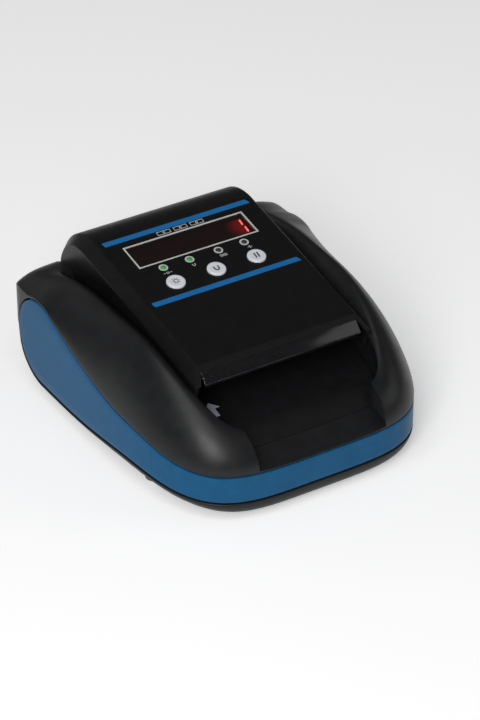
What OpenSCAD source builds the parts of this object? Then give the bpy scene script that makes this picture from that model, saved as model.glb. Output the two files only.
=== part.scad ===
// Desktop banknote counter: low rounded body with a hinged lid, a front feed
// tray, a sloping control panel and a roller transport inside.
// Millimetres, +Z up, front at -Y, origin on the table under the middle.

/* [Body] */
// Overall width of the body
body_w = 146; // [144:1:148]
// Distance from the origin to the front of the body
front_len = 84; // [83:1:86]
// Distance from the origin to the back of the body
rear_len = 84; // [84:1:86]
// Wall thickness of the body mouldings beside the trim band
wall = 4.4; // [4:0.1:4.8]
// Roof thickness of the upper shell
roof = 2.4; // [2:0.1:3]
// Height of the joint between base tray and upper shell
split_z = 17; // [16.5:0.5:17.5]

/* [Shoulders] */
// Height of the shoulder ridge beside the lid
ridge_z = 66.8; // [65:0.2:68]
// Height of the crest of the front wall
crest_z = 38.8; // [38:0.2:41]
// How far the ridge sits in from the side
ridge_in = 16.5; // [15.5:0.5:17]
// How far the crest sits in from the front
crest_in = 11; // [10:0.5:12]

/* [Trim band] */
// Height of the top edge of the band at the front
band_top = 24; // [23:0.5:24.5]
// Height of the bottom edge of the band at the front
band_low = 10.2; // [10:0.2:11]
// Radius of the round rear end of the band
band_r = 22.2; // [22:0.1:22.4]
// Thickness of the band
band_t = 2.3; // [2:0.1:2.4]
// Dark gap all round the band
band_gap = 0.88; // [0.6:0.02:1]

/* [Lid] */
// Slope of the control panel
slope = 10; // [9.5:0.5:10.5]
// Radius of the rounded back of the lid
hump_r = 28; // [27.6:0.1:28]
// Half width of the flat panel
deck_hw = 42.8; // [42:0.2:43]
// Half width of the lid
lid_hw = 47.2; // [46.8:0.1:47.4]
// Thickness of the lid moulding
lid_t = 2.0; // [1.8:0.1:2]
// Height of the hinge axis
hinge_z = 51.5; // [51:0.1:51.6]
// Depth position of the hinge axis
hinge_y = 54; // [53.8:0.1:54]

/* [Panel] */
// Radius of a button cap
button_r = 4.6; // [4.2:0.1:4.8]
// How far a button cap stands above the panel
button_up = 0.9; // [0.7:0.1:1.2]
// Half spacing between the outer buttons
button_x = 22; // [20:0.5:23]
// Half width of the display window
window_hw = 32.2; // [30:0.2:33]
// Half width of the coloured stripes
stripe_hw = 40; // [38:0.5:41]

/* [Transport] */
// Height of the flat part of the feed bed
bed_z = 41.5; // [41.3:0.1:41.6]
// Radius of a feed roller
roller_r = 7; // [6.8:0.1:7]
// Radius of a pressure roller
press_r = 5; // [4.8:0.1:5]
// Depth position of the feed shaft
feed_y = -8; // [-10:1:-6]
// Depth position of the exit shaft
exit_y = 50; // [48:1:50]
// Radius of the feed and exit shafts
shaft_r = 2; // [1.9:0.05:2]

/* [Hidden] */
$fn = 48;

a0 = body_w / 2;            // half width
yc = rear_len - 34;         // widest station
lf = front_len + yc;        // length ahead of it
lr = 34;                    // length behind it
nf = 4.3;                   // squareness of the front corners
nr = 8;                     // squareness of the rear corners
floor_z = 2.5;              // underside of the base tray
tray_t = 2.4;               // thickness of its floor
pocket_hw = 48.9;           // half width of the well for the lid
pocket_y = 70;              // front end of the well, ahead of the origin
pocket_w = 2.3;             // thickness of the well's side walls
notch_hw = 34;              // half width of the feed notch at its floor
ramp_k = 0.2535;            // rise of the feed ramp per mm
ramp_z = 25.4;              // ramp height at the very front
bed_t = 1.6;
bed_front = -70.2;
bed_back = 74.2;
roller_z = bed_z + 0.5 - roller_r;
press_z = roller_z + roller_r + 0.3 + press_r;
motor_y = 22;
motor_z = 18;
pulley_r = 3.4;
frame_x = 35;               // inner face of the side frames
frame_t = 2;
lid_low = 46.5;             // lower edge of the lid
deck_y0 = -42.5;
deck_z0 = hinge_z + (hump_r + sin(slope) * (deck_y0 - hinge_y)) / cos(slope);
deck_len = (hinge_y - deck_y0) * cos(slope) + (hinge_z - deck_z0) * sin(slope);
band_yc = 51.2;
band_zc = band_low + band_r;
screw_xy = [[60, -34], [-60, -34], [62, 26], [-62, 26]];
foot_xy = [[43, -52], [-43, -52], [46, 48], [-46, 48]];
led_x = [-22.1, -7.9, 7.9, 22.1];

function ramp(y) = ramp_z + ramp_k * (y + front_len);

// ---- plan outline -------------------------------------------------------
// A station is [side, half, t]: side +1 right or -1 left, half -1 front or +1 back.
front_t = concat([for (s = [0:0.07:0.84]) asin(pow(s, nf / 2))],
                 [for (k = [1:9]) acos(pow(0.86 * (1 - k / 9), nf / 2))]);
rear_t = concat([for (s = [0.2, 0.4, 0.55, 0.66, 0.74, 0.82]) asin(pow(s, nr / 2))],
                [for (q = [0.955, 0.92, 0.86, 0.72, 0]) acos(pow(q, nr / 2))]);
nft = len(front_t);
nrt = len(rear_t);
stations = concat(
  [for (k = [nrt - 1:-1:0]) [1, 1, rear_t[k]]],
  [for (k = [0:nft - 1]) [1, -1, front_t[k]]],
  [for (k = [nft - 2:-1:0]) [-1, -1, front_t[k]]],
  [for (k = [0:nrt - 2]) [-1, 1, rear_t[k]]]);

function sq(st) = pow(max(0, cos(st[2])), 2 / (st[1] < 0 ? nf : nr));
function ss(st) = pow(max(0, sin(st[2])), 2 / (st[1] < 0 ? nf : nr));
function at(st, d) = [st[0] * (a0 - d) * sq(st),
  st[1] < 0 ? yc - (lf - d) * ss(st) : yc + (lr - d) * ss(st)];
// How far the outline faces along Y there, 0 on the side and 1 at the end
function facing(st) =
  let (n = st[1] < 0 ? nf : nr,
       nx = pow(sq(st), n - 1) / a0,
       ny = pow(ss(st), n - 1) / (st[1] < 0 ? lf : lr))
  ny * ny / (nx * nx + ny * ny);

// ---- trim band edges ----------------------------------------------------
function band_u(y) = max(0, (y + 76) / 124);
function top_curve(y) = band_top + 30.6 * (0.35 * band_u(y) + 0.65 * pow(band_u(y), 1.9))
  + 1.9 * exp(-pow((y + 36) / 18, 2));
function low_curve(y) = band_low + 3.8 * exp(-pow((y + 28) / 34, 2));
function edge_top(y, g = 0) = y < 43.3 ? top_curve(y) + g
  : band_zc + sqrt(max(0, pow(band_r + g, 2) - pow(y - band_yc, 2)));
function edge_low(y, g = 0) = y < band_yc ? low_curve(y) - g
  : band_zc - sqrt(max(0, pow(band_r + g, 2) - pow(y - band_yc, 2)));

// ---- body surface -------------------------------------------------------
function ridge_height(y) = y > 0 ? ridge_z - 7.5 * pow(max(0, y - 22) / 46, 2)
  : crest_z + (ridge_z - crest_z) * cos(90 * pow(min(1, -y / (front_len - crest_in)), 1.15));
// One vertical profile of the body, from the floor to the ridge and down inside it.
// w is how far the surface is moved in from the outer skin, v how far down.
function profile(st, w, v) =
  let (f = facing(st), wf = st[1] < 0 ? f : 0, wr = st[1] > 0 ? f : 0,
       y0 = at(st, 0)[1],
       lo = edge_low(y0, 1.6), hi = y0 < 43.3 ? edge_top(y0, 1.6) : max(edge_top(y0, 1.6), 54 - 8 * wr),
       db = 10 - 5.5 * wf + 12 * wr - 20 * max(0, wr - 0.5), eb = 1.3 + 0.7 * (wf + wr),
       dr = ridge_in - (ridge_in - crest_in) * wf,
       eu = 1.35 + 0.3 * wf + 0.95 * wr,
       zr = ridge_height(at(st, dr)[1]) - v,
       zf = floor_z + v)
  concat(
    [for (p = [90, 65, 45, 25]) [w + db * (1 - pow(cos(p), 2 / eb)), lo - (lo - zf) * pow(sin(p), 2 / eb)]],
    [[w, lo], [w, hi]],
    [for (p = [12, 25, 38, 52, 66, 79, 90]) [w + (dr - 0.9 * w) * (1 - pow(max(0, cos(p)), 2 / eu)), hi + (zr - hi) * pow(sin(p), 2 / eu)]],
    [[dr + w * 0.1 + 1.6, zr - 0.3], [dr + w * 0.1 + 4, zr - 2.2 - 0.2 * w], [dr + w * 0.1 + 9, zr - 7.2 - 0.2 * w], [dr + 15, 54 - 5 * v]]);

module skin(w, v) {
  n = len(stations);
  rows = len(profile(stations[0], 0, 0));
  prof = [for (st = stations) profile(st, w, v)];
  pts = [for (j = [0:rows - 1]) for (i = [0:n - 1])
    let (p = prof[i][j], q = at(stations[i], p[0])) [q[0], q[1], p[1]]];
  sides = [for (j = [0:rows - 2]) for (i = [0:n - 1])
    let (k = (i + 1) % n, b = j * n, u = (j + 1) * n)
      each [[b + i, b + k, u + k], [b + i, u + k, u + i]]];
  polyhedron(concat(pts),
    concat([[for (i = [n - 1:-1:0]) i]], sides, [[for (i = [0:n - 1]) (rows - 1) * n + i]]), 4);
}

// The strip along the outline that the band fills, from depth d0 to depth d1
module strip(d0, d1, g) {
  re = [for (k = [0:9]) band_yc + (band_r + g) * sin(88.5 * (1 - k / 9.5))];
  half = concat([for (y = re) [1, asin(pow((y - yc) / lr, nr / 2))]],
                [for (s = [0:0.0375:0.84]) [-1, asin(pow(s, nf / 2))]],
                [for (k = [1:14]) [-1, acos(pow(0.86 * (1 - k / 14), nf / 2))]]);
  m = len(half);
  st = concat([for (h = half) [1, h[0], h[1]]], [for (k = [m - 2:-1:0]) [-1, half[k][0], half[k][1]]]);
  n = len(st);
  pts = [for (s = st) let (y = at(s, 0)[1], o = at(s, d0), i = at(s, d1), zl = edge_low(y, g), zt = edge_top(y, g))
    each [[o[0], o[1], zl], [o[0], o[1], zt], [i[0], i[1], zt], [i[0], i[1], zl]]];
  faces = [for (i = [0:n - 2]) for (e = [0:3])
    let (a = 4 * i + e, b = 4 * i + (e + 1) % 4, c = 4 * (i + 1) + e, d = 4 * (i + 1) + (e + 1) % 4)
      each [[a, c, d], [a, d, b]]];
  l = 4 * (n - 1);
  polyhedron(pts, concat(faces, [[0, 1, 2, 3], [l + 3, l + 2, l + 1, l]]), 4);
}

// The well that the lid and the feed tray lie in, g larger all round
module well_plan(g) {
  n = 8;
  l = pocket_y + yc;
  fr = concat([for (s = [0:0.14:0.84]) [pow(1 - pow(s, n), 1 / n), s]],
              [for (k = [1:9]) let (q = 0.93 * (1 - k / 9)) [q, pow(1 - pow(q, n), 1 / n)]]);
  m = len(fr);
  r = [for (p = fr) [(pocket_hw + g) * p[0], yc - (l + g) * p[1]]];
  linear_extrude(120) polygon(concat([[-pocket_hw - g, 95], [pocket_hw + g, 95]], r,
    [for (k = [m - 2:-1:0]) [-r[k][0], r[k][1]]]));
}
module well(g, drop) {
  intersection() {
    well_plan(g);
    rotate([90, 0, 90]) translate([0, 0, -60]) linear_extrude(120)
      polygon([[-100, ramp(-100) - bed_t - drop - 0.05], [-27, ramp(-27) - bed_t - drop - 0.05], [-22, ramp(-27) + 0.7 - bed_t - drop],
               [-16, bed_z - bed_t - drop - 0.05], [100, bed_z - bed_t - drop - 0.05], [100, 130], [-100, 130]]);
  }
}

// The notch in the front wall that the notes slide through
module notch() {
  intersection() {
    rotate([90, 0, 0]) translate([0, 0, 60]) linear_extrude(40)
      polygon([[-notch_hw, 10], [notch_hw, 10], [notch_hw, 30], [notch_hw + 2.2, 60], [-notch_hw - 2.2, 60], [-notch_hw, 30]]);
    rotate([90, 0, 90]) translate([0, 0, -60]) linear_extrude(120)
      polygon([[-100, ramp(-100)], [-60, ramp(-60)], [-60, 80], [-100, 80]]);
  }
}

module boss(x, y, z0, z1, r0, r1) {
  hull() {
    translate([x, y, z0]) cylinder(r = r0, h = 0.5, $fn = 32);
    translate([x, y, z1 - 0.5]) cylinder(r = r1, h = 0.5, $fn = 32);
  }
}

module rib(x, y0, y1, z0, z1) {
  hull() {
    translate([x - 0.8, y0, z0]) cube([1.6, 1, z1 - z0]);
    translate([x - 0.8, y1 - 1, z0]) cube([1.6, 1, z1 - z0]);
  }
}

// Flat recess at the back for the jack and the switch
module rear_panel_cut() { translate([14, 76.2, 4.6]) cube([46, 12, 13]); }

module base_tray() {
  color("#1d1d1f") difference() {
    union() {
      difference() {
        intersection() { skin(0, 0); translate([-90, -95, 0]) cube([180, 190, split_z]); }
        skin(wall, tray_t);
      }
      intersection() { skin(0.8, 1); for (p = screw_xy) boss(p[0], p[1], 2, split_z, 5, 4.4); }
      for (x = [-44, 44]) rib(x, -30, 10, 4, 9);
      rib(-20, 62, 70, 4, 9);
      rib(0, -66, -62, 4, 9);
      intersection() { skin(0, 0); translate([12, 73.4, 3]) cube([50, 9, split_z - 3]); }
    }
    strip(-2, 2.4, band_gap);
    rear_panel_cut();
    translate([50, 60, 10.8]) rotate([-90, 0, 0]) cylinder(r = 4.7, h = 30, $fn = 40);
    translate([22.3, 60, 5.4]) cube([15.4, 30, 10.8]);
    for (p = screw_xy) translate([p[0], p[1], 0]) {
      translate([0, 0, 1]) cylinder(r = 3.3, h = 4.2, $fn = 32);
      cylinder(r = 1.8, h = 30, $fn = 32);
    }
    for (p = foot_xy) translate([p[0], p[1], 0]) cylinder(r = 6.2, h = 3.4, $fn = 40);
    for (x = [-24:6:24]) translate([x - 1.25, -8, 0]) cube([2.5, 36, 10]);
  }
}

module rubber_feet() {
  color("#0f0f10") for (p = foot_xy) translate([p[0], p[1], 0]) {
    cylinder(r1 = 5.4, r2 = 6, h = 1);
    translate([0, 0, 1]) cylinder(r = 6, h = 2.4);
  }
}

module base_screws() {
  color("#9a9ca0") for (p = screw_xy) translate([p[0], p[1], 0]) {
    difference() {
      translate([0, 0, 3.1]) cylinder(r = 2.9, h = 2.1);
      translate([-2, -0.4, 2.5]) cube([4, 0.8, 1.6]);
      translate([-0.4, -2, 2.5]) cube([0.8, 4, 1.6]);
    }
    translate([0, 0, 5.2]) cylinder(r = 1.5, h = 20);
  }
}

module upper_shell() {
  color("#1b1b1d") difference() {
    union() {
      difference() {
        intersection() { skin(0, 0); translate([-90, -95, split_z]) cube([180, 190, 80]); }
        difference() {
          skin(wall, roof);
          well(pocket_w, 3);
          // sill under the notch
          rotate([90, 0, 90]) translate([0, 0, -notch_hw - 4]) linear_extrude(2 * notch_hw + 8)
            polygon([[-90, 0], [-68.6, 0], [-68.6, 46], [-90, 46]]);
        }
      }
      intersection() {
        skin(1.2, 1.2);
        union() {
          for (p = screw_xy) boss(p[0], p[1], split_z, 70, 4.4, 4.4);
          for (s = [-1, 1]) {
            rib(s * 62, 8, 16, 40, 60);
            rib(s * 62, -14, -6, 34, 58);
          }
        }
      }
    }
    well(0, 0);
    notch();
    strip(-2, 2.4, band_gap);
    for (s = [-1, 1]) translate([s * 50, hinge_y, hinge_z]) rotate([0, 90, 0]) cylinder(r = 2.8, h = 8, center = true, $fn = 40);
    for (p = screw_xy) translate([p[0], p[1], 0]) cylinder(r = 1.7, h = 28, $fn = 32);
    // step that lets the back of the well clear the swinging lid
    translate([0, hinge_y, hinge_z]) rotate([0, 90, 0]) cylinder(r = hump_r + 0.5, h = 2 * pocket_hw - 1.2, center = true, $fn = 96);
    // opening over the rollers, belt and sensors
    translate([-44.5, -21, 20]) cube([89, 95, 25]);
  }
}

module trim_band() { color("#2f6190") strip(0, band_t, 0); }

// Bed profile along Y, as a list of [y, z]
bed_line = [[bed_front, ramp(bed_front)], [-27, ramp(-27)], [-22, ramp(-27) + 0.75], [-16, bed_z], [bed_back, bed_z]];
module feed_bed() {
  color("#232326") difference() {
    intersection() {
      rotate([90, 0, 90]) translate([0, 0, -pocket_hw]) linear_extrude(2 * pocket_hw)
        polygon(concat(bed_line, [for (k = [4:-1:0]) [bed_line[k][0], bed_line[k][1] - bed_t]]));
      difference() {
        well_plan(-0.25);
        for (s = [-1, 1]) translate([s * 50 - 5.6, 34, 0]) cube([11.2, 60, 60]);
      }
    }
    for (y = [feed_y, exit_y], s = [-1, 1]) translate([s * 20 - 8, y - 6.6, bed_z - 5]) cube([16, 13.2, 10]);
    for (x = [-12, 12]) translate([x - 6.2, 12.8, bed_z - 5]) cube([12.4, 6.4, 10]);
    for (x = [-30, 30]) translate([x - 5.2, 27.8, bed_z - 5]) cube([10.4, 4.4, 10]);
  }
}

module tray_arrow_label() {
  color("#dfe3e8") translate([-38.5, -47, ramp(-47) + 0.02]) rotate([atan(ramp_k), 0, 0])
    linear_extrude(0.25) polygon([[4, 9], [8, 5], [5.4, 5], [5.4, 0], [2.6, 0], [2.6, 5], [0, 5]]);
}

module hinge_posts() {
  color("#2a2a2c") for (s = [-1, 1]) difference() {
    translate([s * 55.5 - 4, hinge_y - 6, 5.2]) cube([8, 12, 51]);
    translate([s * 55.5, hinge_y, hinge_z]) rotate([0, 90, 0]) cylinder(r = 2.5, h = 12, center = true);
  }
}

module hinge_pins() {
  color("#b8babd") for (s = [-1, 1]) translate([s * 51.25, hinge_y, hinge_z]) rotate([0, 90, 0])
    cylinder(r = 2.5, h = 16.5, center = true);
}

module side_frames() {
  color("#8d9094") for (s = [-1, 1]) difference() {
    union() {
      translate([s > 0 ? frame_x : -frame_x - frame_t, -18, 5.2]) cube([frame_t, 77, bed_z - bed_t - 5.3]);
      translate([s > 0 ? frame_x - 6 : -frame_x - frame_t + 2, -18, 5.2]) cube([6, 77, 1.2]);
    }
    for (y = [feed_y, exit_y]) translate([s * 36, y, roller_z]) rotate([0, 90, 0]) cylinder(r = 3.2, h = 8, center = true);
    translate([s * 36, motor_y, motor_z]) rotate([0, 90, 0]) cylinder(r = 4, h = 8, center = true);
    translate([s * 36, motor_y - 16, motor_z + 6]) rotate([0, 90, 0]) cylinder(r = 4.5, h = 8, center = true);
  }
}

module shaft_bushes() {
  color("#b08d3e") for (s = [-1, 1], y = [feed_y, exit_y]) translate([s * 35, y, roller_z]) rotate([0, s * 90, 0]) difference() {
    union() { cylinder(r = 3.2, h = 2.3); translate([0, 0, -0.9]) cylinder(r = 4.2, h = 0.9); }
    translate([0, 0, -2]) cylinder(r = shaft_r + 0.05, h = 6);
  }
}

module drive_motor() {
  color("#a9acb0") translate([frame_x, motor_y, motor_z]) rotate([0, -90, 0]) difference() {
    union() {
      cylinder(r = 11, h = 30);
      translate([0, 0, 30]) cylinder(r = 4, h = 2.5);
      translate([-3, -7.5, 30]) cube([1, 3, 3]);
      translate([-3, 4.5, 30]) cube([1, 3, 3]);
    }
    translate([0, 0, -1]) cylinder(r = 1.2, h = 22);
  }
}

module belt_outline(r) {
  hull() for (p = [[feed_y, roller_z], [exit_y, roller_z], [motor_y, motor_z]]) translate(p) circle(r = r, $fn = 40);
}
module drive_belt() {
  color("#17181a") translate([39.4, 0, 0]) rotate([90, 0, 90]) linear_extrude(3.2) difference() {
    belt_outline(pulley_r + 1.2);
    belt_outline(pulley_r + 0.3);
  }
}

module magnetic_heads() {
  color("#c9b27a") for (x = [-12, 12]) translate([x, 16, 0]) {
    translate([-5.8, -2.9, 34]) cube([11.6, 5.8, bed_z - 34.2]);
    translate([-0.6, -2.9, bed_z - 0.2]) cube([1.2, 5.8, 0.2]);
  }
}

module sensor_board() {
  color("#1f6b3f") {
    translate([-34, 10, 32.4]) cube([68, 24, 1.6]);
    for (x = [-30, 30]) translate([x - 4.8, 28.2, 34]) cube([9.6, 3.6, bed_z - 34.3]);
  }
}

module encoder_sensor() {
  color("#202225") difference() {
    translate([-44, feed_y - 3, 22]) cube([6.4, 6, 10.5]);
    translate([-42.2, feed_y - 4, 28]) cube([2.6, 8, 10]);
  }
}

module main_board() {
  color("#1f6b3f") difference() {
    translate([-30, -64, 8]) cube([60, 42, 1.6]);
    for (p = [[-26, -60], [26, -60], [-26, -26], [26, -26]]) translate([p[0], p[1], 5]) cylinder(r = 1.6, h = 8);
  }
}

module board_screws() {
  color("#b8babd") for (p = [[-26, -60], [26, -60], [-26, -26], [26, -26]]) translate([p[0], p[1], 0]) {
    translate([0, 0, 4.95]) cylinder(r = 1.4, h = 5);
    translate([0, 0, 9.65]) cylinder(r = 2.6, h = 1.5);
    difference() { translate([0, 0, 4.95]) cylinder(r = 3, h = 3); translate([0, 0, 4]) cylinder(r = 1.4, h = 6); }
  }
}

module board_parts() {
  color("#26282c") {
    translate([-14, -52, 9.6]) cube([12, 12, 1.8]);
    translate([6, -54, 9.6]) cube([14, 6, 2.4]);
    for (x = [8, 17]) translate([x, -40, 9.6]) cylinder(r = 3.6, h = 9);
    translate([-22, -36, 9.6]) cube([8, 8, 5]);
    translate([-4, -32, 9.6]) cube([18, 5, 7]);
  }
}

module dc_jack() {
  color("#141416") translate([50, 0, 10.8]) {
    difference() {
      union() {
        translate([0, 66, 0]) rotate([-90, 0, 0]) cylinder(r = 4.6, h = 10.6);
        translate([0, 76.25, 0]) rotate([-90, 0, 0]) cylinder(r = 5.4, h = 1);
        translate([-5, 62.5, -1.1]) cube([10, 9.5, 5.7]);
      }
      translate([0, 66.5, 0]) rotate([-90, 0, 0]) cylinder(r = 2.85, h = 14);
    }
    translate([0, 66.4, 0]) rotate([-90, 0, 0]) cylinder(r = 1.05, h = 9.6);
  }
}

module switch_housing() {
  color("#161618") difference() {
    union() {
      translate([22.5, 64, 5.6]) cube([15, 12.7, 10.4]);
      translate([20.8, 76.25, 5]) cube([18.4, 1, 11.7]);
    }
    translate([24, 67, 6.6]) cube([12, 12, 8.6]);
  }
  color("#161618") for (x = [23.6, 35.1]) translate([x, 73.5, 10.9]) rotate([0, 90, 0]) cylinder(r = 1, h = 1.3);
}
// The rocker turns on the housing's two stub pins
module switch_rocker() {
  color("#202124") translate([30, 73.5, 10.9]) difference() {
    rotate([90, 0, 90]) translate([0, 0, -5.7]) linear_extrude(11.4)
      polygon([[-3, -2.6], [-2.2, -3.4], [2, -3.4], [2.9, 0], [2.8, 3.4], [-2.2, 3.4], [-3, 2.6]]);
    rotate([0, 90, 0]) cylinder(r = 1.05, h = 14, center = true);
  }
}

module motor_pulley() {
  color("#d8d4c8") translate([0, motor_y, motor_z]) rotate([0, 90, 0]) {
    translate([0, 0, 17]) cylinder(r = 1.15, h = 27);
    difference() {
      union() {
        translate([0, 0, 38.4]) cylinder(r = pulley_r, h = 5.2);
        translate([0, 0, 38.2]) cylinder(r = 4.7, h = 0.8);
        translate([0, 0, 43]) cylinder(r = 4.7, h = 0.8);
      }
      translate([0, 0, 30]) cylinder(r = 1.15, h = 20);
    }
  }
}

module long_shaft(y) { translate([-43.2, y, roller_z]) rotate([0, 90, 0]) cylinder(r = shaft_r, h = 87.2); }
module tyres(y) {
  for (s = [-1, 1]) translate([s * 20 - 7, y, roller_z]) rotate([0, 90, 0]) difference() {
    cylinder(r = roller_r, h = 14);
    translate([0, 0, -1]) cylinder(r = shaft_r, h = 20);
  }
}
module shaft_pulley(y) {
  translate([0, y, roller_z]) rotate([0, 90, 0]) difference() {
    union() {
      translate([0, 0, 38.4]) cylinder(r = pulley_r, h = 5.2);
      translate([0, 0, 38.2]) cylinder(r = 4.7, h = 0.8);
      translate([0, 0, 43]) cylinder(r = 4.7, h = 0.8);
    }
    translate([0, 0, 30]) cylinder(r = shaft_r, h = 20);
  }
}
module feed_shaft() { color("#c4c6c9") long_shaft(feed_y); }
module feed_tyres() { color("#3a3a3c") tyres(feed_y); }
module feed_pulley() { color("#d8d4c8") shaft_pulley(feed_y); }
module exit_shaft() { color("#c4c6c9") long_shaft(exit_y); }
module exit_tyres() { color("#3a3a3c") tyres(exit_y); }
module exit_pulley() { color("#d8d4c8") shaft_pulley(exit_y); }

module encoder_disc() {
  color("#3d4046") translate([-41.2, feed_y, roller_z]) rotate([0, 90, 0]) difference() {
    cylinder(r = 4.7, h = 0.6);
    translate([0, 0, -1]) cylinder(r = shaft_r, h = 3);
    for (k = [0:7]) rotate(k * 45) translate([3, -0.5, -1]) cube([1.1, 1, 3]);
  }
}

// ---- lid ----------------------------------------------------------------
// Local frame of the panel: x across, y up the slope from its front edge, z out of it
module on_deck() { translate([0, deck_y0, deck_z0]) rotate([slope, 0, 0]) children(); }

// Section of the lid across the panel, drawn in x and z; e moves it inwards
module lid_section(e) {
  h = lid_hw - 0.06 - e;
  polygon([[-h, -60], [-h, -6.3 - e * 0.4], [-deck_hw + e * 0.4, -e], [deck_hw - e * 0.4, -e], [h, -6.3 - e * 0.4], [h, -60]]);
}
module lid_mass(e) {
  union() {
    on_deck() rotate([90, 0, 0]) translate([0, 0, -deck_len]) linear_extrude(deck_len + 20) lid_section(e);
    translate([0, hinge_y, hinge_z]) rotate([0, 90, 0]) rotate_extrude($fn = 96)
      polygon([[0, -lid_hw + e], [hump_r - 2.2 - e, -lid_hw + e], [hump_r - 2.2 - e, -lid_hw + 2 + e * 0.6],
               [hump_r - e, -deck_hw + e * 0.6], [hump_r - e, deck_hw - e * 0.6], [hump_r - 2.2 - e, lid_hw - 2 - e * 0.6],
               [hump_r - 2.2 - e, lid_hw - e], [0, lid_hw - e]]);
  }
}
// Everything the lid may occupy, seen from the side; e moves the edges inwards
module lid_side(e) {
  rotate([90, 0, 90]) translate([0, 0, -60]) linear_extrude(120)
    polygon([[deck_y0, deck_z0], [deck_y0 - 6.6, deck_z0 - 6.9], [deck_y0 - 4.4, lid_low], [100, lid_low], [100, 100], [deck_y0, 100]]);
}
module lid_hollow() {
  intersection() {
    lid_mass(lid_t);
    translate([-60, -80, 0]) cube([120, 200, 120]);
  }
}
module panel_holes(g) {
  for (k = [-1:1]) translate([k * button_x, 54, -12]) cylinder(r = button_r + g, h = 20);
}
module lid_cover() {
  color("#1a1a1c") difference() {
    intersection() { lid_mass(0); lid_side(0); }
    lid_hollow();
    for (s = [-1, 1]) translate([s * 46, hinge_y, hinge_z]) rotate([0, 90, 0]) cylinder(r = 2.55, h = 8, center = true);
    on_deck() {
      panel_holes(0.25);
      for (x = led_x) translate([x, 65.5, -6]) cylinder(r = 1.5, h = 12);
      translate([-window_hw + 0.6, 70.4, -6]) cube([2 * window_hw - 1.2, 14.2, 12]);
      translate([-40.6, 41.8, -0.3]) cube([81.2, 53.2, 3]);
    }
  }
}

module panel_overlay() {
  color("#151517") on_deck() difference() {
    translate([-40.5, 41.9, -0.28]) cube([81, 51.1, 0.26]);
    panel_holes(0.25);
    for (x = led_x) translate([x, 65.5, -6]) cylinder(r = 2.3, h = 12);
    translate([-window_hw - 0.5, 69.3, -6]) cube([2 * window_hw + 1, 16.4, 12]);
    for (y = [42.6, 89.6]) translate([-stripe_hw, y, -0.4]) cube([2 * stripe_hw, 3.2, 3]);
  }
}

module panel_stripes() {
  color("#2478b8") on_deck() for (y = [42.6, 89.6]) translate([-stripe_hw, y, -0.28]) cube([2 * stripe_hw, 3.2, 0.3]);
}

module window_frame() {
  color("#c9cacc") on_deck() difference() {
    translate([-window_hw - 0.5, 69.3, -0.28]) cube([2 * window_hw + 1, 16.4, 0.3]);
    translate([-window_hw + 0.3, 70.1, -2]) cube([2 * window_hw - 0.6, 14.8, 4]);
  }
}

module display_window() {
  color("#2a0608") on_deck() translate([-window_hw + 0.65, 70.45, -2.2]) cube([2 * window_hw - 1.3, 14.1, 2.1]);
}

module digit_display() {
  color("#1c1012") on_deck() {
    translate([-31, 71.5, -8]) cube([62, 12.4, 5.6]);
    for (y = [73.6, 79.1]) translate([29.4, y, -2.4]) cube([0.9, 3.9, 0.08]);
  }
}

module panel_board() {
  color("#1f6b3f") on_deck() translate([-38, 44, -9.6]) cube([76, 44, 1.6]);
}

module panel_switches() {
  color("#2b2d30") on_deck() for (k = [-1:1]) translate([k * button_x, 54, -8]) {
    translate([-3, -3, 0]) cube([6, 6, 2.2]);
    translate([0, 0, 2.2]) cylinder(r = 1.7, h = 0.8);
  }
}

module indicator_leds() {
  color("#59c35c") on_deck() for (x = led_x) translate([x, 65.5, -8]) cylinder(r = 1.48, h = 8.1);
}

module led_rings() {
  color("#c9cacc") on_deck() for (x = led_x) translate([x, 65.5, -0.28]) difference() {
    cylinder(r = 2.25, h = 0.32);
    translate([0, 0, -1]) cylinder(r = 1.5, h = 3);
  }
}

module button(k) {
  on_deck() translate([k * button_x, 54, 0]) {
    translate([0, 0, -4.2]) cylinder(r = button_r + 0.9, h = 1.3);
    translate([0, 0, -2.9]) cylinder(r = button_r, h = 2.9 + button_up - 0.4);
    translate([0, 0, button_up - 0.4]) cylinder(r1 = button_r, r2 = button_r - 0.4, h = 0.4);
  }
}
module uv_button() { color("#d9dadc") button(-1); }
module mg_button() { color("#d9dadc") button(0); }
module pause_button() { color("#d9dadc") button(1); }

module smoked_visor() {
  color("#3a3c40", 0.45) rotate([90, 0, 90]) translate([0, 0, -42]) linear_extrude(84)
    polygon([[deck_y0 + 0.2, deck_z0 - 2.3], [deck_y0 - 1.9, deck_z0 - 2.2], [deck_y0 - 6.5, deck_z0 - 7],
             [deck_y0 - 6.2, deck_z0 - 9], [deck_y0 - 4.9, deck_z0 - 8.4], [deck_y0 + 0.2, deck_z0 - 4]]);
}

module upper_guide() {
  color("#2c2d30") difference() {
    rotate([90, 0, 90]) translate([0, 0, -44.6]) linear_extrude(89.2)
      polygon([[-38, 50], [-28, 44.6], [-16, 44], [57, 44], [59.6, 45], [59.6, 46.4], [56.6, 45.4], [-16, 45.4], [-27.6, 46], [-37.4, 51.2]]);
    for (y = [feed_y, exit_y], s = [-1, 1]) translate([s * 20 - 8, y - 6.4, 40]) cube([16, 12.8, 10]);
    translate([-20, 17, 40]) cube([40, 6, 10]);
  }
}

module roller_brackets() {
  color("#3c3d40") for (y = [feed_y, exit_y], s = [-1, 1]) difference() {
    translate([s * 31 - 1.5, y - 4, 45.4]) cube([3, 8, 5]);
    translate([s * 31, y, press_z]) rotate([0, 90, 0]) cylinder(r = 1.55, h = 6, center = true);
  }
}

module press_springs() {
  color("#aeb1b5") for (y = [feed_y, exit_y], s = [-1, 1]) translate([s * 31, y, 50.4]) {
    difference() { cylinder(r = 1.8, h = 0.6); translate([0, 0, -1]) cylinder(r = 1.1, h = 3); }
    translate([-1.2, -1.2, 0.6]) cube([2.4, 2.4, 2.2]);
  }
}

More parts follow.
